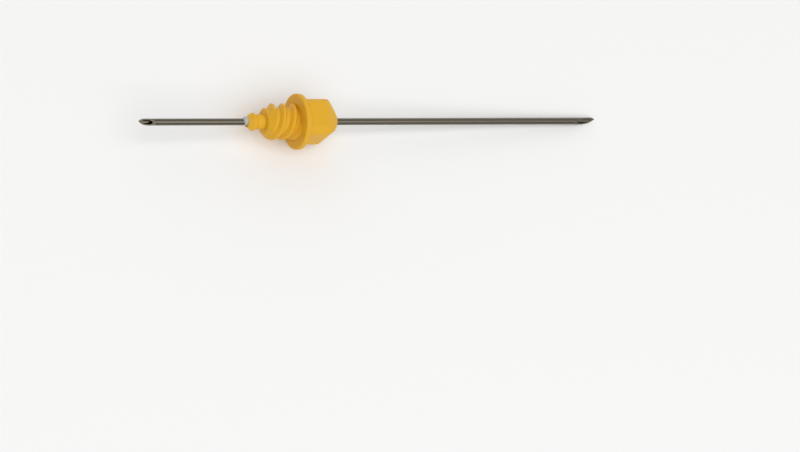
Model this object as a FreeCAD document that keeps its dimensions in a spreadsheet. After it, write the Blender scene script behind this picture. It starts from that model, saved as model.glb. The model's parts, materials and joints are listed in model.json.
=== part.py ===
import FreeCAD, Part
import Sketcher
import math
import os
import re

# Double-ended blood collection needle, lying on a flat surface.
#
# One steel tube, ground to a lancet point at each end, is bonded into a moulded plastic hub.
# Each piece is drawn along +X, from the rear (tube-piercing) end to the front (patient) end,
# with X = 0 on the rear face of the hub's nose. The finished needle is then tipped onto its
# flange rim and its front point, the way it comes to rest on a table, with the table at Z = 0.
#
# A roll is the angle about the needle's axis, from straight up (+Z) towards -Y.

SIZES = {
    # steel tube, gauge 20
    "tube_outer_radius": 0.454,
    "tube_inner_radius": 0.3015,
    "rear_reach": 15.3,
    "front_reach": 51.75,

    # ground points
    "front_bevel_angle": 14.5,
    "front_lancet_angle": 27.0,
    "front_lancet_turn": 50.0,
    "front_bevel_roll": 49.0,
    "rear_bevel_angle": 23.5,
    "rear_lancet_angle": 40.0,
    "rear_lancet_turn": 50.0,
    "rear_bevel_roll": 37.0,

    # hub nose: a barb that would hold a rubber sleeve, and the neck behind it
    "nose_tip_radius": 0.72,
    "barb_length": 0.81,
    "barb_radius": 1.22,
    "barb_back_length": 0.45,
    "barb_round": 0.15,
    "neck_radius": 0.99,
    "neck_length": 1.14,

    # threaded core
    "core_face_radius": 1.60,
    "core_shoulder_length": 0.55,
    "core_radius": 1.82,
    "core_length": 4.56,

    # two-start thread
    "thread_crest_radius": 2.38,
    "thread_spacing": 1.525,
    "thread_starts": 2,
    "thread_offset": 0.60,
    "thread_flank_angle": 57.0,
    "thread_crest_round": 0.28,
    "thread_root_sink": 0.32,
    "thread_lead_in": 1.00,
    "thread_run_out": 0.38,

    # disc flange
    "flange_radius": 3.65,
    "flange_thickness": 0.75,
    "flange_round": 0.20,

    # square body and cone
    "body_half_width": 2.51,
    "body_corner_round": 1.00,
    "body_straight_length": 2.95,
    "body_taper_angle": 32.2,
    "cone_start_length": 3.50,
    "cone_start_radius": 3.16,
    "cone_length": 1.54,
    "cone_tip_radius": 0.95,
    "cone_tip_round": 0.15,

    # tube bore and glue well in the nose
    "bore_clearance": 0.02,
    "well_mouth_radius": 0.61,
    "well_floor_radius": 0.52,
    "well_depth": 1.30,

    # epoxy bead on the nose
    "bead_radius": 0.58,
    "bead_height": 0.72,
    "bead_offset": 0.16,
    "bead_roll": -37.0,
    "glue_sink": 0.30,

    # spare length on every cut, so that it passes right through
    "cut_margin": 0.60,

    # grams per cubic millimetre, for the balance point alone
    "steel_density": 0.0079,
    "plastic_density": 0.00105,
    "epoxy_density": 0.00115,
}

document = FreeCAD.newDocument("blood_collection_needle")


def make_sheet():
    """The spreadsheet that every size is read from."""
    sheet = document.addObject("Spreadsheet::Sheet", "Sizes")
    for row, (name, value) in enumerate(SIZES.items(), start=1):
        sheet.set(f"A{row}", name)
        sheet.set(f"B{row}", str(value))
        sheet.setAlias(f"B{row}", name)
    document.recompute()
    return sheet


def size(name):
    """A size from the sheet, as a number."""
    return float(getattr(sheet, name))


def cells(expression):
    """An expression in plain size names, with each name pointed at its cell."""
    def point_at_cell(word):
        return f"Sizes.{word[0]}" if word[0] in SIZES else word[0]

    return re.sub(r"[a-z_]+", point_at_cell, expression)


def new_body(label):
    """An empty body whose label names its file."""
    body = document.addObject("PartDesign::Body", label)
    body.Label = label
    return body


def origin_plane(body, role):
    """One of the body's own three base planes."""
    return next(plane for plane in body.Origin.OriginFeatures if plane.Role == role)


def new_sketch(body, name, role, roll=None, along=None):
    """A sketch on a base plane, rolled about the needle's axis or moved along it."""
    sketch = body.newObject("Sketcher::SketchObject", name)
    sketch.AttachmentSupport = (origin_plane(body, role), [""])
    sketch.MapMode = "FlatFace"
    if roll is not None:
        turn = FreeCAD.Rotation(FreeCAD.Vector(1, 0, 0), 1)
        sketch.AttachmentOffset = FreeCAD.Placement(FreeCAD.Vector(), turn)
        sketch.setExpression("AttachmentOffset.Rotation.Angle", cells(roll))
    if along is not None:
        sketch.setExpression("AttachmentOffset.Base.z", cells(along))
    return sketch


def tie_point(sketch, edge, end, axis, expression):
    """Set one coordinate of a point from the sheet, measured from the sketch's origin."""
    value = float(sketch.evalExpression(cells(expression)))
    if abs(value) < 1e-9:
        across = -2 if axis == "DistanceX" else -1
        sketch.addConstraint(Sketcher.Constraint("PointOnObject", edge, end, across))
        return
    points = (-1, 1, edge, end) if value > 0 else (edge, end, -1, 1)
    index = sketch.addConstraint(Sketcher.Constraint(axis, *points, abs(value)))
    sign = "" if value > 0 else "0 - "
    sketch.setExpression(f"Constraints[{index}]", f"{sign}({cells(expression)})")


def tie_radius(sketch, arc, expression):
    """Set an arc's radius from the sheet."""
    value = float(sketch.evalExpression(cells(expression)))
    index = sketch.addConstraint(Sketcher.Constraint("Radius", arc, value))
    sketch.setExpression(f"Constraints[{index}]", cells(expression))


def draw_outline(sketch, corners):
    """A closed outline of straight edges through corners given as pairs of expressions."""
    points = [
        FreeCAD.Vector(*(float(sketch.evalExpression(cells(term))) for term in corner), 0)
        for corner in corners
    ]
    count = len(points)
    edges = [
        sketch.addGeometry(Part.LineSegment(points[i], points[(i + 1) % count]), False)
        for i in range(count)
    ]
    for i, edge in enumerate(edges):
        sketch.addConstraint(Sketcher.Constraint("Coincident", edge, 2, edges[(i + 1) % count], 1))
        tie_point(sketch, edge, 1, "DistanceX", corners[i][0])
        tie_point(sketch, edge, 1, "DistanceY", corners[i][1])


def spin(body, kind, sketch):
    """A full turn of a sketch about the needle's axis: a Revolution adds, a Groove cuts."""
    feature = body.newObject(f"PartDesign::{kind}", f"{sketch.Name}_{kind.lower()}")
    feature.Profile = sketch
    feature.ReferenceAxis = (sketch, ["H_Axis"])
    feature.Angle = 360.0
    return feature


def cut_through(body, sketch):
    """A pocket right through the body, both ways from the sketch."""
    pocket = body.newObject("PartDesign::Pocket", f"{sketch.Name}_pocket")
    pocket.Profile = sketch
    pocket.Type = "ThroughAll"
    pocket.Midplane = True
    return pocket


def pattern(body, feature, copies):
    """Copies of a feature, spaced evenly round the needle's axis."""
    turns = body.newObject("PartDesign::PolarPattern", f"{feature.Name}_pattern")
    turns.Originals = [feature]
    turns.Axis = (next(line for line in body.Origin.OriginFeatures if line.Role == "X_Axis"), [""])
    turns.Angle = 360.0
    turns.setExpression("Occurrences", cells(copies))
    body.Tip = turns
    return turns


def is_circle(edge, radius):
    """Whether an edge runs round the needle's axis at the given radius."""
    curve = edge.Curve
    return isinstance(curve, Part.Circle) and abs(curve.Radius - size(radius)) < 1e-6


def round_edges(body, name, radius, wanted):
    """Fillet the edges that the given test picks out."""
    document.recompute()
    edges = [f"Edge{i}" for i, edge in enumerate(body.Shape.Edges, start=1) if wanted(edge)]
    if not edges:
        raise RuntimeError(f"{name}: no edge was found to round")
    base = body.Tip
    fillet = body.newObject("PartDesign::Fillet", name)
    fillet.Base = (base, edges)
    fillet.setExpression("Radius", cells(radius))
    body.Tip = fillet


def grind(body, name, roll, tip, level, angle, direction):
    """Grind one flat on a point: everything beyond a slanted line, seen along the flat."""
    sketch = new_sketch(body, name, "XZ_Plane", roll=roll)
    reach = "(2 * tube_outer_radius + cut_margin)"
    rise = f"({reach} / tan({angle} * 1 deg))"
    back = "+" if direction == "-" else "-"
    draw_outline(sketch, [
        (f"{tip} {direction} {rise}", f"{level} - {reach}"),
        (f"{tip} {back} {rise}", f"{level} + {reach}"),
        (f"{tip} {direction} 2 * {rise}", f"{level} + {reach}"),
        (f"{tip} {direction} 2 * {rise}", f"{level} - {reach}"),
    ])
    return cut_through(body, sketch)


def grind_point(body, end, tip, direction):
    """A lancet point: one long bevel, and a steeper flat on each side of it near the tip."""
    radius = "tube_outer_radius"
    roll = f"{end}_bevel_roll"
    turn = f"{end}_lancet_turn"
    level = f"0 - {radius} * cos({turn} * 1 deg)"
    grind(body, f"{end}_bevel", roll, tip, f"0 - {radius}", f"{end}_bevel_angle", direction)
    grind(body, f"{end}_lancet_a", f"{roll} + {turn}", tip, level, f"{end}_lancet_angle", direction)
    grind(body, f"{end}_lancet_b", f"{roll} - {turn}", tip, level, f"{end}_lancet_angle", direction)


def make_cannula():
    """The steel tube, drawn from its rear point at X = 0."""
    body = new_body("cannula")
    sketch = new_sketch(body, "tube_wall", "XZ_Plane")
    length = "rear_reach + front_reach"
    draw_outline(sketch, [
        ("0", "tube_inner_radius"),
        (length, "tube_inner_radius"),
        (length, "tube_outer_radius"),
        ("0", "tube_outer_radius"),
    ])
    spin(body, "Revolution", sketch)
    grind_point(body, "rear", "0", "-")
    grind_point(body, "front", f"({length})", "+")
    return body


# stations along the hub
BARB_END = "barb_length + barb_back_length"
CORE_START = f"{BARB_END} + neck_length"
FLANGE_START = f"{CORE_START} + core_length"
FLANGE_END = f"{FLANGE_START} + flange_thickness"
TAPER_START = f"{FLANGE_END} + body_straight_length"
CONE_START = f"{FLANGE_END} + cone_start_length"
HUB_END = f"{CONE_START} + cone_length"


def turn_hub(body):
    """The turned shape of the hub: barbed nose, neck, core and disc flange."""
    sketch = new_sketch(body, "nose_core_flange", "XZ_Plane")
    draw_outline(sketch, [
        ("0", "0"),
        ("0", "nose_tip_radius"),
        ("barb_length", "barb_radius"),
        (BARB_END, "neck_radius"),
        (CORE_START, "neck_radius"),
        (CORE_START, "core_face_radius"),
        (f"{CORE_START} + core_shoulder_length", "core_radius"),
        (FLANGE_START, "core_radius"),
        (FLANGE_START, "flange_radius"),
        (FLANGE_END, "flange_radius"),
        (FLANGE_END, "0"),
    ])
    spin(body, "Revolution", sketch)
    round_edges(body, "barb_crest", "barb_round", lambda edge: is_circle(edge, "barb_radius"))
    round_edges(body, "flange_rim", "flange_round", lambda edge: is_circle(edge, "flange_radius"))


def draw_rounded_square(sketch):
    """The body's cross-section: four straight sides and four rounded corners."""
    radius = size("body_corner_round")
    inset = size("body_half_width") - radius
    signs = [(1, 1), (-1, 1), (-1, -1), (1, -1)]
    arcs = []
    for index, (across, up) in enumerate(signs):
        centre = FreeCAD.Vector(across * inset, up * inset, 0)
        circle = Part.Circle(centre, FreeCAD.Vector(0, 0, 1), radius)
        start = index * math.pi / 2
        arcs.append(sketch.addGeometry(Part.ArcOfCircle(circle, start, start + math.pi / 2), False))
    for index, arc in enumerate(arcs):
        following = arcs[(index + 1) % len(arcs)]
        ends = sketch.getPoint(arc, 2), sketch.getPoint(following, 1)
        side = sketch.addGeometry(Part.LineSegment(*ends), False)
        sketch.addConstraint(Sketcher.Constraint("Tangent", arc, 2, side, 1))
        sketch.addConstraint(Sketcher.Constraint("Tangent", side, 2, following, 1))
    for arc, (across, up) in zip(arcs, signs):
        tie_radius(sketch, arc, "body_corner_round")
        tie_point(sketch, arc, 3, "DistanceX", f"{across} * (body_half_width - body_corner_round)")
        tie_point(sketch, arc, 3, "DistanceY", f"{up} * (body_half_width - body_corner_round)")


def add_square_body(body):
    """The square body in front of the flange."""
    sketch = new_sketch(body, "square_body", "YZ_Plane", along=FLANGE_END)
    draw_rounded_square(sketch)
    pad = body.newObject("PartDesign::Pad", "square_body_pad")
    pad.Profile = sketch
    pad.setExpression("Length", cells("cone_start_length + cone_length"))


def taper_body(body):
    """Slope the four flats in, and turn the front end to a cone."""
    sketch = new_sketch(body, "flat_taper", "XZ_Plane")
    run = "(cone_start_length + cone_length + cut_margin - body_straight_length)"
    fall = f"{run} * tan(body_taper_angle * 1 deg)"
    draw_outline(sketch, [
        (TAPER_START, "body_half_width"),
        (f"{TAPER_START} + {run}", f"body_half_width - {fall}"),
        (f"{TAPER_START} + {run}", "body_half_width + cut_margin"),
        (TAPER_START, "body_half_width + cut_margin"),
    ])
    pattern(body, cut_through(body, sketch), "4")

    sketch = new_sketch(body, "front_cone", "XZ_Plane")
    draw_outline(sketch, [
        (CONE_START, "cone_start_radius"),
        (HUB_END, "cone_tip_radius"),
        (f"{HUB_END} + cut_margin", "cone_tip_radius"),
        (f"{HUB_END} + cut_margin", "2 * cone_start_radius"),
        (CONE_START, "2 * cone_start_radius"),
    ])
    spin(body, "Groove", sketch)
    round_edges(body, "cone_tip", "cone_tip_round", lambda edge: is_circle(edge, "cone_tip_radius"))


def add_ridge(body, start):
    """One start of the thread: straight flanks that run into a round crest."""
    sketch = new_sketch(body, f"thread_ridge_{start}", "XZ_Plane", roll=f"{start} * 360 / thread_starts")
    centre = f"{CORE_START} + thread_offset - thread_spacing"
    level = "(thread_crest_radius - thread_crest_round)"
    foot = "(core_radius - thread_root_sink)"
    flank = "thread_flank_angle * 1 deg"
    half = f"(({level} - {foot}) / tan({flank}) + thread_crest_round / sin({flank}))"

    def value(expression):
        return float(sketch.evalExpression(cells(expression)))

    lean = math.radians(size("thread_flank_angle"))
    radius = size("thread_crest_round")
    middle = FreeCAD.Vector(value(centre), value(level), 0)
    touch = FreeCAD.Vector(radius * math.sin(lean), radius * math.cos(lean), 0)
    left_foot = FreeCAD.Vector(value(f"{centre} - {half}"), value(foot), 0)
    right_foot = FreeCAD.Vector(value(f"{centre} + {half}"), value(foot), 0)
    left_touch = middle + FreeCAD.Vector(-touch.x, touch.y, 0)
    right_touch = middle + touch
    crest_circle = Part.Circle(middle, FreeCAD.Vector(0, 0, 1), radius)

    left = sketch.addGeometry(Part.LineSegment(left_foot, left_touch), False)
    crest = sketch.addGeometry(
        Part.ArcOfCircle(crest_circle, math.pi / 2 - lean, math.pi / 2 + lean), False)
    right = sketch.addGeometry(Part.LineSegment(right_touch, right_foot), False)
    base = sketch.addGeometry(Part.LineSegment(right_foot, left_foot), False)

    sketch.addConstraint(Sketcher.Constraint("Tangent", left, 2, crest, 2))
    sketch.addConstraint(Sketcher.Constraint("Tangent", crest, 1, right, 1))
    sketch.addConstraint(Sketcher.Constraint("Coincident", right, 2, base, 1))
    sketch.addConstraint(Sketcher.Constraint("Coincident", base, 2, left, 1))
    tie_radius(sketch, crest, "thread_crest_round")
    tie_point(sketch, crest, 3, "DistanceX", centre)
    tie_point(sketch, crest, 3, "DistanceY", level)
    tie_point(sketch, left, 1, "DistanceX", f"{centre} - {half}")
    tie_point(sketch, left, 1, "DistanceY", foot)
    tie_point(sketch, right, 2, "DistanceX", f"{centre} + {half}")
    tie_point(sketch, right, 2, "DistanceY", foot)

    ridge = body.newObject("PartDesign::AdditiveHelix", f"thread_helix_{start}")
    ridge.Profile = sketch
    ridge.ReferenceAxis = (sketch, ["H_Axis"])
    ridge.Mode = "pitch-height-angle"
    ridge.LeftHanded = True
    ridge.setExpression("Pitch", cells("thread_spacing * thread_starts"))
    travel = "core_length - thread_offset + thread_spacing + thread_run_out"
    ridge.setExpression("Height", cells(travel))


def trim_thread(body):
    """Cut the ridges back to a cone at the rear, so that each one fades in from the core."""
    sketch = new_sketch(body, "thread_start", "XZ_Plane")
    above_barb = "(barb_radius + core_face_radius) / 2"
    above_crest = "(thread_crest_radius + thread_crest_round)"
    draw_outline(sketch, [
        ("0 - cut_margin", above_barb),
        (CORE_START, above_barb),
        (CORE_START, "core_face_radius"),
        (f"{CORE_START} + thread_lead_in", above_crest),
        ("0 - cut_margin", above_crest),
    ])
    spin(body, "Groove", sketch)


def bore_hub(body):
    """The bore that the tube runs through, and the glue well at its rear mouth."""
    sketch = new_sketch(body, "bore_and_well", "XZ_Plane")
    bore = "tube_outer_radius + bore_clearance"
    draw_outline(sketch, [
        ("0 - cut_margin", "0"),
        ("0 - cut_margin", "well_mouth_radius"),
        ("0", "well_mouth_radius"),
        ("well_depth", "well_floor_radius"),
        ("well_depth", bore),
        (f"{HUB_END} + cut_margin", bore),
        (f"{HUB_END} + cut_margin", "0"),
    ])
    spin(body, "Groove", sketch)


def make_hub():
    """The moulded hub, drawn from the rear face of its nose at X = 0."""
    body = new_body("hub")
    turn_hub(body)
    add_square_body(body)
    taper_body(body)
    for start in reversed(range(int(size("thread_starts")))):
        add_ridge(body, start)
    trim_thread(body)
    bore_hub(body)
    return body


def make_adhesive_bead():
    """The epoxy: it fills the well round the tube and stands out in a lopsided bead."""
    body = new_body("adhesive_bead")
    sketch = new_sketch(body, "well_fill", "XZ_Plane")
    draw_outline(sketch, [
        ("0", "0"),
        ("0", "well_mouth_radius"),
        ("well_depth", "well_floor_radius"),
        ("well_depth", "0"),
    ])
    spin(body, "Revolution", sketch)

    # on the far side of the tube the glue has sunk below the mouth of the well
    sketch = new_sketch(body, "sunken_glue", "XZ_Plane", roll="bead_roll")
    edge = "(bead_offset - bead_radius)"
    draw_outline(sketch, [
        ("0", edge),
        ("glue_sink", "0 - well_mouth_radius"),
        ("glue_sink", "0 - well_mouth_radius - cut_margin"),
        ("0", "0 - well_mouth_radius - cut_margin"),
    ])
    cut_through(body, sketch)

    sketch = new_sketch(body, "bead_dome", "XZ_Plane", roll="bead_roll")
    sketch.setExpression("AttachmentOffset.Base.y", cells("bead_offset * cos(bead_roll * 1 deg)"))
    sketch.setExpression("AttachmentOffset.Base.z", cells("bead_offset * sin(bead_roll * 1 deg)"))
    draw_dome(sketch)
    spin(body, "Revolution", sketch)

    sketch = new_sketch(body, "tube_passage", "XZ_Plane")
    draw_outline(sketch, [
        ("0 - bead_height - cut_margin", "0"),
        ("0 - bead_height - cut_margin", "tube_outer_radius"),
        ("well_depth + cut_margin", "tube_outer_radius"),
        ("well_depth + cut_margin", "0"),
    ])
    spin(body, "Groove", sketch)
    return body


def draw_dome(sketch):
    """Half the section of a drop that stands on the nose: an arc from its rim to its top."""
    tall = size("bead_height")
    wide = size("bead_radius")
    top = FreeCAD.Vector(-tall, 0, 0)
    rim = FreeCAD.Vector(0, wide, 0)
    radius = (tall * tall + wide * wide) / (2 * tall)
    centre = FreeCAD.Vector(radius - tall, 0, 0)
    circle = Part.Circle(centre, FreeCAD.Vector(0, 0, 1), radius)
    start = math.atan2(rim.y, rim.x - centre.x)
    arc = sketch.addGeometry(Part.ArcOfCircle(circle, start, math.pi), False)
    height = sketch.addGeometry(Part.LineSegment(top, FreeCAD.Vector()), False)
    width = sketch.addGeometry(Part.LineSegment(FreeCAD.Vector(), rim), False)
    sketch.addConstraint(Sketcher.Constraint("Coincident", arc, 1, width, 2))
    sketch.addConstraint(Sketcher.Constraint("Coincident", arc, 2, height, 1))
    sketch.addConstraint(Sketcher.Constraint("Coincident", height, 2, width, 1))
    sketch.addConstraint(Sketcher.Constraint("Coincident", height, 2, -1, 1))
    sketch.addConstraint(Sketcher.Constraint("PointOnObject", arc, 3, -1))
    tie_point(sketch, height, 1, "DistanceX", "0 - bead_height")
    tie_point(sketch, height, 1, "DistanceY", "0")
    tie_point(sketch, width, 2, "DistanceX", "0")
    tie_point(sketch, width, 2, "DistanceY", "bead_radius")


def check_document():
    """Stop if any object failed to rebuild, which the document itself does silently."""
    document.recompute()
    failed = [thing.Name for thing in document.Objects if {"Invalid", "Error"} & set(thing.State)]
    if failed:
        raise RuntimeError(f"these did not rebuild: {failed}")


def resting_points(pieces):
    """Points all over the pieces, each moved by its own start along the needle's axis."""
    points = []
    for piece, start, _ in pieces:
        mesh_points, _ = piece.Shape.tessellate(0.01)
        points += [point + FreeCAD.Vector(start, 0, 0) for point in mesh_points]
    return points


def balance_station(pieces):
    """How far along the needle's axis its weight acts."""
    weights = [piece.Shape.Volume * density for piece, _, density in pieces]
    stations = [piece.Shape.CenterOfGravity.x + start for piece, start, _ in pieces]
    return sum(w * x for w, x in zip(weights, stations)) / sum(weights)


def resting_tilt(points, balance):
    """The angle at which the lowest point passes from behind the balance point to ahead of it."""
    level, steep = 0.0, math.radians(45)
    while steep - level > 1e-7:
        tilt = (level + steep) / 2
        lowest = min(points, key=lambda p: p.z * math.cos(tilt) - p.x * math.sin(tilt))
        if lowest.x < balance:
            level = tilt
        else:
            steep = tilt
    return steep


def lay_down(pieces):
    """Tip every piece onto the table and centre the whole over the origin."""
    points = resting_points(pieces)
    tilt = resting_tilt(points, balance_station(pieces))
    turn = FreeCAD.Rotation(FreeCAD.Vector(0, 1, 0), math.degrees(tilt))
    turned = [turn.multVec(point) for point in points]
    middle_x = (min(p.x for p in turned) + max(p.x for p in turned)) / 2
    middle_y = (min(p.y for p in turned) + max(p.y for p in turned)) / 2
    table = FreeCAD.Vector(-middle_x, -middle_y, -min(p.z for p in turned))
    for piece, start, _ in pieces:
        piece.Placement = FreeCAD.Placement(table + turn.multVec(FreeCAD.Vector(start, 0, 0)), turn)
    print(f"tilt {math.degrees(tilt):.3f} degrees, nose at {table}")


def export(pieces):
    """Write each piece, once it is known to be a sound solid."""
    os.makedirs("parts", exist_ok=True)
    for piece, _, _ in pieces:
        shape = piece.Shape
        if shape.isNull() or not shape.isValid() or len(shape.Solids) != 1:
            raise RuntimeError(f"{piece.Label} isn't one sound solid")
        shape.exportStep(f"parts/{piece.Label}.step")
        print(f"{piece.Label}: {shape.Volume:.3f} mm3")


sheet = make_sheet()

# each piece, where it starts along the needle's axis, and its density
PIECES = [
    (make_cannula(), -size("rear_reach"), size("steel_density")),
    (make_hub(), 0.0, size("plastic_density")),
    (make_adhesive_bead(), 0.0, size("epoxy_density")),
]
check_document()
lay_down(PIECES)
check_document()
export(PIECES)
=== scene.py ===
"""Finishes and stage for a double-ended blood collection needle.

Everything is in metres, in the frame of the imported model: the needle lies along X on the table at
Z = 0, with its patient end towards +X and its tube end, a little higher, towards -X.
"""

import json
import math

import bmesh
import bpy
from bpy.props import FloatProperty, FloatVectorProperty, PointerProperty, StringProperty
from mathutils import Matrix, Vector

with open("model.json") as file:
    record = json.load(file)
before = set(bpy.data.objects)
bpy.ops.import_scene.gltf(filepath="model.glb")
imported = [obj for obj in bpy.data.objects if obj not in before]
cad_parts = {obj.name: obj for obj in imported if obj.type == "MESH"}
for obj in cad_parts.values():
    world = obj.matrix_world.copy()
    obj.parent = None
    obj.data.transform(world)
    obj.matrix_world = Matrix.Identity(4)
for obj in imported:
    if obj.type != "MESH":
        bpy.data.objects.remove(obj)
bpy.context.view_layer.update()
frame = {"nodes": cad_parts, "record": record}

bl_info = {
    "name": "Blood collection needle finishes",
    "version": (1, 0, 0),
    "blender": (4, 5, 0),
    "location": "3D View > Sidebar > Needle",
    "description": "Materials, stage and camera for a double-ended blood collection needle",
    "category": "Material",
}

MM = 0.001

# the picture that the camera is aimed for, in pixels, and the camera's sensor in millimetres
IMAGE_WIDTH = 800
IMAGE_HEIGHT = 452
SENSOR_WIDTH = 36.0
NEAREST_VISIBLE = 0.01

# the key light: how far it leans towards the camera, the picture's top and its right
KEY_SIDE = (0.9, -0.02, 0.42)
KEY_DISTANCE = 0.9
KEY_WIDTH = 1.2
TABLE_HALF_WIDTH = 1.5

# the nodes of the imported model
CANNULA = "cannula"
HUB = "hub"
BEAD = "adhesive_bead"

# the sockets of a Mix node: its factor, then its two numbers or its two colours
FACTOR = 0
NUMBERS = (2, 3)
COLOURS = (6, 7)
MIXED_NUMBER = 0
MIXED_COLOUR = 2


def linear(hex_colour):
    """A linear RGBA colour from an sRGB hex value."""
    digits = hex_colour.lstrip("#")
    values = [int(digits[i:i + 2], 16) / 255 for i in (0, 2, 4)]
    return tuple(v / 12.92 if v <= 0.04045 else ((v + 0.055) / 1.055) ** 2.4 for v in values) + (1.0,)


def scaled(colour, amounts):
    """A colour with each of its channels scaled."""
    return tuple(value * amount for value, amount in zip(colour, amounts)) + (1.0,)


def add_node(tree, kind, settings=None, links=None):
    """Add a node, set its properties or sockets, and link its inputs from other sockets."""
    node = tree.nodes.new(kind)
    for key, value in (settings or {}).items():
        if isinstance(key, str) and hasattr(node, key):
            setattr(node, key, value)
        else:
            node.inputs[key].default_value = value
    for key, source in (links or {}).items():
        tree.links.new(source, node.inputs[key])
    return node


def mix_colours(tree, factor, first, second):
    """A blend of two constant colours, driven by a pattern."""
    settings = {"data_type": "RGBA", COLOURS[0]: first, COLOURS[1]: second}
    return add_node(tree, "ShaderNodeMix", settings, {FACTOR: factor}).outputs[MIXED_COLOUR]


def packed_mount(name):
    """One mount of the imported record."""
    return next(mount for mount in frame["record"]["mounts"] if mount["name"] == name)


def needle_axis():
    """The needle's direction, from its tube end to its patient end."""
    return Vector(packed_mount("patient_end")["axis"]).normalized()


def flange_middle():
    """The middle of the flange's rear face, on the needle's axis."""
    return Vector(packed_mount("holder_thread")["pos_m"])


class NeedleSettings(bpy.types.PropertyGroup):
    """Colours and pattern sizes of the needle's own materials."""

    steel_colour: StringProperty(
        name="Steel colour",
        description="Reflected colour of the tube",
        default="#6B655A")
    draw_line_spacing: FloatProperty(
        name="Draw line spacing",
        description="Distance between the die's draw lines round the tube",
        default=0.03 * MM, unit="LENGTH", precision=6)
    grind_line_spacing: FloatProperty(
        name="Grind line spacing",
        description="Distance between grinding scratches on the points",
        default=0.05 * MM, unit="LENGTH", precision=6)
    hub_colour: StringProperty(
        name="Hub colour",
        description="Colour of the hub's plastic",
        default="#E6B12C")
    hub_glow_colour: StringProperty(
        name="Hub depth colour",
        description="Tint of light that has passed through the hub",
        default="#FFB428")
    mould_grain: FloatProperty(
        name="Mould grain",
        description="Size of the spark-eroded mould texture on the hub",
        default=0.06 * MM, unit="LENGTH", precision=6)
    edge_radius: FloatProperty(
        name="Edge radius",
        description="Roundness of the moulded edges, as seen in the light on them",
        default=0.06 * MM, unit="LENGTH", precision=6)
    epoxy_colour: StringProperty(
        name="Epoxy colour",
        description="Colour of the adhesive",
        default="#D4D1C8")


class StageSettings(bpy.types.PropertyGroup):
    """Camera, lights and table."""

    camera_distance: FloatProperty(
        name="Camera distance",
        description="From the camera to the middle of the flange",
        default=900 * MM, unit="LENGTH")
    turn_from_side: FloatProperty(
        name="Turn",
        description="How far the tube end is turned towards the camera",
        default=math.radians(26.85), subtype="ANGLE")
    camera_roll: FloatProperty(
        name="Camera roll",
        description="Camera's place round the needle, from straight up towards the front",
        default=math.radians(21.0), subtype="ANGLE")
    field_of_view: FloatProperty(
        name="Field of view",
        description="Angle across the width of the picture",
        default=math.radians(6.6), subtype="ANGLE")
    picture_tilt: FloatProperty(
        name="Picture tilt",
        description="How far the camera leans to its right",
        default=math.radians(0.14), subtype="ANGLE")
    hub_pixel: FloatVectorProperty(
        name="Flange pixel",
        description="Where the middle of the flange falls in an 800 by 452 picture",
        size=2, default=(294.9, 121.45))
    table_colour: StringProperty(
        name="Table colour",
        description="Colour of the table",
        default="#F8F8F7")
    key_power: FloatProperty(
        name="Key light",
        description="Power of the large soft light",
        default=6.8, unit="POWER")
    near_strength: FloatProperty(
        name="Near wall",
        description="Strength of the light from the camera's side",
        default=0.45)
    ceiling_strength: FloatProperty(
        name="Ceiling",
        description="Strength of the light from overhead",
        default=0.34)
    far_strength: FloatProperty(
        name="Far wall",
        description="Strength of the light from the far side",
        default=0.95)


def principled(name):
    """A new material with a principled shader, and its node tree."""
    material = bpy.data.materials.new(name)
    material.use_nodes = True
    tree = material.node_tree
    return material, tree, tree.nodes["Principled BSDF"]


def along_needle(tree):
    """Object coordinates turned so that X runs along the needle, in millimetres."""
    place = add_node(tree, "ShaderNodeTexCoord")
    axis = needle_axis()
    tip = math.atan2(-axis.z, axis.x)
    turn = add_node(tree, "ShaderNodeMapping", {
        "vector_type": "TEXTURE", "Rotation": (0.0, tip, 0.0)},
        {"Vector": place.outputs["Object"]})
    return add_node(tree, "ShaderNodeVectorMath", {
        "operation": "SCALE", "Scale": 1 / MM}, {0: turn.outputs["Vector"]}).outputs[0]


def ground_mask(tree):
    """1 on the ground flats of the points and 0 on the drawn wall, which runs along the needle."""
    place = add_node(tree, "ShaderNodeTexCoord")
    along = add_node(tree, "ShaderNodeVectorMath", {
        "operation": "DOT_PRODUCT", 1: needle_axis()}, {0: place.outputs["Normal"]})
    slope = add_node(tree, "ShaderNodeMath", {
        "operation": "ABSOLUTE"}, {0: along.outputs["Value"]})
    mask = add_node(tree, "ShaderNodeMapRange", {
        "From Min": 0.08, "From Max": 0.16}, {"Value": slope.outputs[0]})
    return mask.outputs["Result"]


def stretched_noise(tree, place, stretch, spacing, detail, roughness):
    """Fine lines: noise of the given spacing, drawn out along the axes with a small stretch."""
    turned = add_node(tree, "ShaderNodeMapping", {"Scale": stretch}, {"Vector": place})
    noise = add_node(tree, "ShaderNodeTexNoise", {
        "Scale": MM / spacing, "Detail": detail, "Roughness": roughness},
        {"Vector": turned.outputs[0]})
    return noise.outputs["Fac"]


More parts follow.
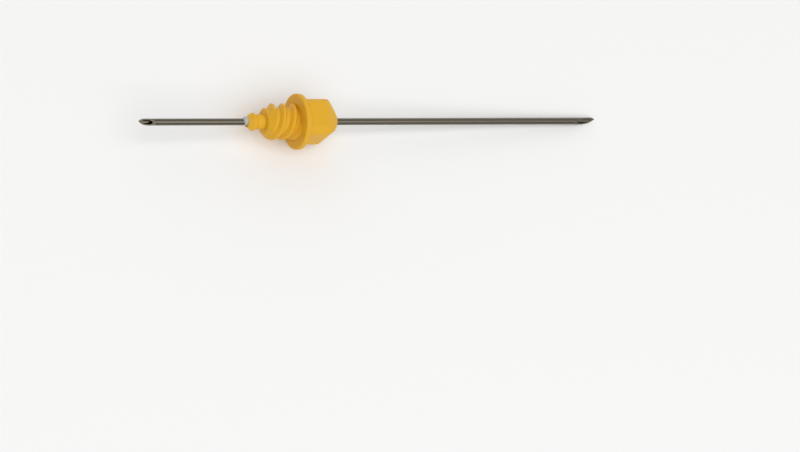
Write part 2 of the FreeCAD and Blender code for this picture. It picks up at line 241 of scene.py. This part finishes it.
def drawn_stainless_steel(settings):
    """Stainless steel tube, cold drawn through a die and ground to a point.

    Drawing leaves fine straight lines along the tube, so its highlight is a long soft streak.
    Grinding leaves cross scratches on the flats of the points, which look paler and duller.
    """
    material, tree, shader = principled("drawn_stainless_steel")
    shader.inputs["Metallic"].default_value = 1.0
    place = along_needle(tree)
    ground = ground_mask(tree)

    # draw lines run along the tube, grinding scratches run across it
    drawn = stretched_noise(tree, place, (0.02, 1.0, 1.0), settings.draw_line_spacing, 3.0, 0.6)
    scratched = stretched_noise(tree, place, (1.0, 0.04, 0.04), settings.grind_line_spacing, 4.0, 0.7)
    lines = add_node(tree, "ShaderNodeMix", links={
        FACTOR: ground, NUMBERS[0]: drawn, NUMBERS[1]: scratched}).outputs[MIXED_NUMBER]

    # the wall is a little darker in its lines, and the ground flats vary more and are paler
    steel = linear(settings.steel_colour)
    wall = mix_colours(tree, lines, scaled(steel, (0.86, 0.85, 0.82)), steel)
    flat = mix_colours(tree, lines, scaled(steel, (0.9, 0.92, 0.9)), scaled(steel, (1.3, 1.33, 1.3)))
    tint = add_node(tree, "ShaderNodeMix", {"data_type": "RGBA"}, {
        FACTOR: ground, COLOURS[0]: wall, COLOURS[1]: flat})
    tree.links.new(tint.outputs[MIXED_COLOUR], shader.inputs["Base Color"])

    # the drawn wall is polished, and grinding adds to its roughness
    polish = add_node(tree, "ShaderNodeMapRange", {
        "From Min": 0.3, "From Max": 0.7, "To Min": 0.16, "To Max": 0.26}, {"Value": lines})
    duller = add_node(tree, "ShaderNodeMath", {
        "operation": "MULTIPLY_ADD", 1: 0.16}, {0: ground, 2: polish.outputs["Result"]})
    tree.links.new(duller.outputs[0], shader.inputs["Roughness"])
    bump = add_node(tree, "ShaderNodeBump", {
        "Strength": 0.15, "Distance": 0.002 * MM}, {"Height": lines})
    tree.links.new(bump.outputs["Normal"], shader.inputs["Normal"])
    return material


def moulded_yellow_plastic(settings):
    """Yellow polypropylene, injection moulded in a spark-eroded tool.

    The plastic lets a little light through, so thin edges and crests glow and shaded faces turn
    orange. The tool leaves a fine even grain that breaks up the gloss, and its edges come out
    very slightly rounded, so each one catches a thin soft line of light.
    """
    material, tree, shader = principled("moulded_yellow_polypropylene")
    place = along_needle(tree)

    # pigment and gloss drift a little over a few millimetres
    cloud = add_node(tree, "ShaderNodeTexNoise", {
        "Scale": 0.5, "Detail": 3.0, "Roughness": 0.55}, {"Vector": place}).outputs["Fac"]
    yellow = linear(settings.hub_colour)
    tint = mix_colours(tree, cloud, scaled(yellow, (0.95, 0.92, 0.85)), yellow)
    tree.links.new(tint, shader.inputs["Base Color"])
    gloss = add_node(tree, "ShaderNodeMapRange", {"To Min": 0.36, "To Max": 0.48}, {"Value": cloud})
    tree.links.new(gloss.outputs["Result"], shader.inputs["Roughness"])

    # the mould's grain, on edges that shade as if they were rounded
    grain = add_node(tree, "ShaderNodeTexNoise", {
        "Scale": MM / settings.mould_grain, "Detail": 2.0}, {"Vector": place})
    edges = add_node(tree, "ShaderNodeBevel", {"samples": 4, "Radius": settings.edge_radius})
    bump = add_node(tree, "ShaderNodeBump", {
        "Strength": 0.18, "Distance": 0.006 * MM},
        {"Height": grain.outputs["Fac"], "Normal": edges.outputs["Normal"]})
    tree.links.new(bump.outputs["Normal"], shader.inputs["Normal"])

    shader.inputs["IOR"].default_value = 1.49
    shader.inputs["Specular IOR Level"].default_value = 0.22
    shader.inputs["Subsurface Weight"].default_value = 0.15
    shader.inputs["Subsurface Radius"].default_value = linear(settings.hub_glow_colour)[:3]
    shader.inputs["Subsurface Scale"].default_value = 0.35 * MM
    return material


def cured_epoxy(settings):
    """White epoxy, dispensed as a drop and cured: milky, smooth and glossy like a bead of glue."""
    material, tree, shader = principled("cured_white_epoxy")

    # the filler isn't mixed quite evenly, so the drop is cloudy
    cloud = add_node(tree, "ShaderNodeTexNoise", {
        "Scale": 2.5, "Detail": 2.0}, {"Vector": along_needle(tree)})
    white = linear(settings.epoxy_colour)
    tint = mix_colours(tree, cloud.outputs["Fac"], scaled(white, (0.8, 0.8, 0.8)), white)
    tree.links.new(tint, shader.inputs["Base Color"])

    shader.inputs["Roughness"].default_value = 0.2
    shader.inputs["IOR"].default_value = 1.55
    shader.inputs["Transmission Weight"].default_value = 0.25
    shader.inputs["Subsurface Weight"].default_value = 0.5
    shader.inputs["Subsurface Radius"].default_value = (1.0, 0.9, 0.75)
    shader.inputs["Subsurface Scale"].default_value = 0.3 * MM
    return material


def dress(node_name, material):
    """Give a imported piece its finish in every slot."""
    mesh = frame["nodes"][node_name].data
    if not mesh.materials:
        mesh.materials.append(material)
    for index in range(len(mesh.materials)):
        mesh.materials[index] = material


class NEEDLE_OT_finish_cannula(bpy.types.Operator):
    """Give the steel tube its drawn and ground finish"""

    bl_idname = "needle.finish_cannula"
    bl_label = "Finish cannula"

    def execute(self, context):
        dress(CANNULA, drawn_stainless_steel(context.scene.needle))
        return {"FINISHED"}


class NEEDLE_OT_finish_hub(bpy.types.Operator):
    """Give the hub its moulded plastic"""

    bl_idname = "needle.finish_hub"
    bl_label = "Finish hub"

    def execute(self, context):
        dress(HUB, moulded_yellow_plastic(context.scene.needle))
        return {"FINISHED"}


class NEEDLE_OT_finish_bead(bpy.types.Operator):
    """Give the adhesive its milky cured resin"""

    bl_idname = "needle.finish_bead"
    bl_label = "Finish adhesive bead"

    def execute(self, context):
        dress(BEAD, cured_epoxy(context.scene.needle))
        return {"FINISHED"}


def look_from(place, direction, up):
    """A camera or lamp matrix at a place, looking along a direction with the given way up."""
    back = -direction.normalized()
    right = up.cross(back).normalized()
    top = back.cross(right).normalized()
    turn = Matrix((right, top, back)).transposed().to_4x4()
    return Matrix.Translation(place) @ turn


def view_directions(stage):
    """Directions towards the picture's right, its top and the camera, seen from the hub."""
    axis = needle_axis()
    side = Vector((0.0, -1.0, 0.0))
    up = side.cross(axis).normalized()
    if up.z < 0:
        up.negate()
    near = up * math.cos(stage.camera_roll) + side * math.sin(stage.camera_roll)
    towards = near * math.cos(stage.turn_from_side) - axis * math.sin(stage.turn_from_side)
    top = near.cross(axis).normalized()
    if top.z < 0:
        top.negate()
    return top.cross(towards).normalized(), top, towards.normalized()


def add_camera(stage):
    """The camera, aimed so that the flange falls on its pixel of the picture."""
    right, top, towards = view_directions(stage)
    half_width = math.tan(stage.field_of_view / 2)
    data = bpy.data.cameras.new("camera")
    data.sensor_width = SENSOR_WIDTH
    data.lens = SENSOR_WIDTH / 2 / half_width
    data.clip_start = NEAREST_VISIBLE
    camera = bpy.data.objects.new("camera", data)
    bpy.context.scene.collection.objects.link(camera)

    pixel = 2 * half_width / IMAGE_WIDTH
    shift_right = (stage.hub_pixel[0] - IMAGE_WIDTH / 2) * pixel
    shift_up = (IMAGE_HEIGHT / 2 - stage.hub_pixel[1]) * pixel
    forward = (-towards - right * shift_right - top * shift_up).normalized()
    place = flange_middle() + towards * stage.camera_distance
    upright = top * math.cos(stage.picture_tilt) + right * math.sin(stage.picture_tilt)
    camera.matrix_world = look_from(place, forward, upright)
    bpy.context.scene.camera = camera


def add_key_light(stage):
    """A large square soft light, from the camera's side and a little to its right."""
    right, top, towards = view_directions(stage)
    side = (towards * KEY_SIDE[0] + top * KEY_SIDE[1] + right * KEY_SIDE[2]).normalized()
    data = bpy.data.lights.new("key", "AREA")
    data.shape = "SQUARE"
    data.size = KEY_WIDTH
    data.energy = stage.key_power
    lamp = bpy.data.objects.new("key", data)
    bpy.context.scene.collection.objects.link(lamp)
    place = flange_middle() + side * KEY_DISTANCE
    lamp.matrix_world = look_from(place, -side, Vector((1.0, 0.0, 0.0)))


def add_table(stage):
    """The pale table that the needle lies on."""
    mesh = bpy.data.meshes.new("table")
    table = bpy.data.objects.new("table", mesh)
    shape = bmesh.new()
    bmesh.ops.create_grid(shape, x_segments=1, y_segments=1, size=TABLE_HALF_WIDTH)
    shape.to_mesh(mesh)
    shape.free()
    material, _, shader = principled("white_laminate")
    shader.inputs["Base Color"].default_value = linear(stage.table_colour)
    shader.inputs["Roughness"].default_value = 0.6
    shader.inputs["Specular IOR Level"].default_value = 0.2
    mesh.materials.append(material)
    bpy.context.scene.collection.objects.link(table)


def add_studio(stage):
    """Even light from all round, dimmer overhead, which the tube mirrors as a dark streak."""
    world = bpy.data.worlds.new("studio")
    world.use_nodes = True
    tree = world.node_tree
    place = add_node(tree, "ShaderNodeTexCoord")
    direction = add_node(tree, "ShaderNodeSeparateXYZ", links={0: place.outputs["Generated"]})
    across = direction.outputs["Y"]
    near = add_node(tree, "ShaderNodeMapRange", {
        "From Min": 0.0, "From Max": 0.15,
        "To Min": stage.near_strength, "To Max": stage.ceiling_strength}, {"Value": across})
    far = add_node(tree, "ShaderNodeMapRange", {
        "From Min": 0.45, "From Max": 0.75,
        "To Min": stage.ceiling_strength, "To Max": stage.far_strength}, {"Value": across})
    light = add_node(tree, "ShaderNodeMath", {"operation": "MAXIMUM"}, {
        0: near.outputs["Result"], 1: far.outputs["Result"]})
    background = tree.nodes["Background"]
    background.inputs["Color"].default_value = linear("#FFFFFF")
    tree.links.new(light.outputs[0], background.inputs["Strength"])
    bpy.context.scene.world = world


class NEEDLE_OT_set_stage(bpy.types.Operator):
    """Add the table, the light and the camera"""

    bl_idname = "needle.set_stage"
    bl_label = "Set stage"

    def execute(self, context):
        stage = context.scene.needle_stage
        add_table(stage)
        add_key_light(stage)
        add_studio(stage)
        add_camera(stage)
        context.scene.view_settings.view_transform = "Standard"
        return {"FINISHED"}


class NEEDLE_PT_panel(bpy.types.Panel):
    """Lists the needle's steps and settings"""

    bl_label = "Blood collection needle"
    bl_space_type = "VIEW_3D"
    bl_region_type = "UI"
    bl_category = "Needle"

    def draw(self, context):
        for step in STEPS:
            self.layout.operator(step.bl_idname)
        for group in (context.scene.needle, context.scene.needle_stage):
            for name in group.__annotations__:
                self.layout.prop(group, name)


STEPS = (NEEDLE_OT_finish_cannula, NEEDLE_OT_finish_hub, NEEDLE_OT_finish_bead, NEEDLE_OT_set_stage)
CLASSES = (NeedleSettings, StageSettings, *STEPS, NEEDLE_PT_panel)


def register():
    for item in CLASSES:
        bpy.utils.register_class(item)
    bpy.types.Scene.needle = PointerProperty(type=NeedleSettings)
    bpy.types.Scene.needle_stage = PointerProperty(type=StageSettings)


def unregister():
    del bpy.types.Scene.needle_stage
    del bpy.types.Scene.needle
    for item in reversed(CLASSES):
        bpy.utils.unregister_class(item)


def main():
    register()
    bpy.ops.needle.finish_cannula()
    bpy.ops.needle.finish_hub()
    bpy.ops.needle.finish_bead()
    bpy.ops.needle.set_stage()


if __name__ == "__main__":
    main()
